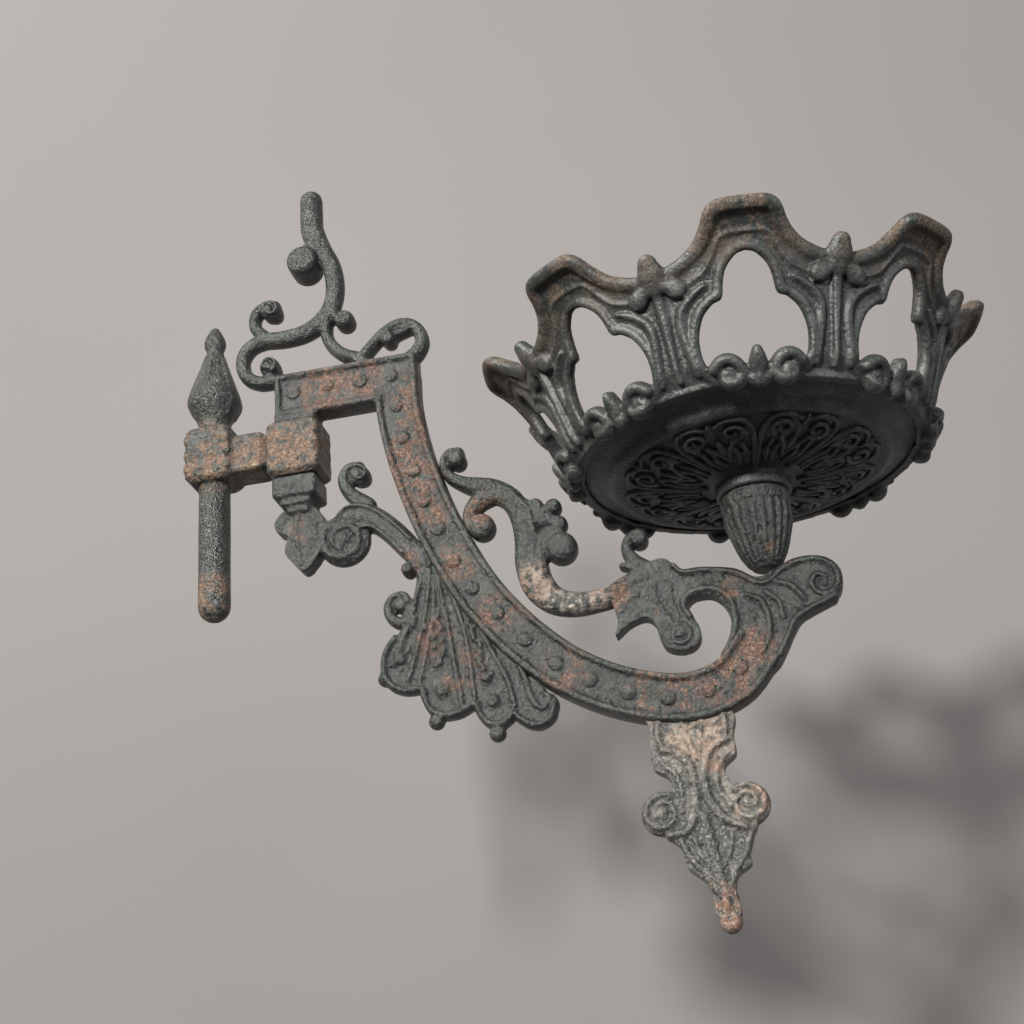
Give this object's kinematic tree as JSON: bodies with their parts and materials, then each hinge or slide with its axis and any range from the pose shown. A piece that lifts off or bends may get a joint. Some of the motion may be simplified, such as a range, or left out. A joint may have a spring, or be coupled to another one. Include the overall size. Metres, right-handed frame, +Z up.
{
  "type": "swing-arm lamp bracket",
  "caption": "Cast iron wall bracket: a hinged scrollwork arm hung on a drop pin carries a pierced lamp cup with a scalloped gallery.",
  "frame": {"origin": "axis of the wall pin at the shoulder it hangs on", "axes": "+Z up along the wall pin, +X out from the wall along the arm, +Y to the far side"},
  "size_m": [0.251, 0.152, 0.2595],
  "materials": {
    "painted_iron": "rough sand casting under worn dark grey-green paint, rust where it has rubbed off",
    "cup_iron": "sand casting under dark satin paint",
    "rod_steel": "plain drawn steel, darkened"
  },
  "bodies": {
    "link": {"wall_link": "painted_iron"},
    "arm": {"arm_pivot_pin": "rod_steel", "arm_frame": "painted_iron", "pivot_bracket": "painted_iron", "top_scroll": "painted_iron", "front_scroll": "painted_iron", "saddle_scroll": "painted_iron", "cup_socket": "painted_iron", "palmette": "painted_iron", "tail_pendant": "painted_iron", "lamp_cup": "cup_iron", "cup_screw": "rod_steel"}
  },
  "joints": [
    {"name": "arm_swing", "type": "hinge", "parent": "link", "child": "arm", "pos_m": [0.028, 0, 0], "axis": [0, 0, 1], "range_deg": [-150, 150]}
  ]
}
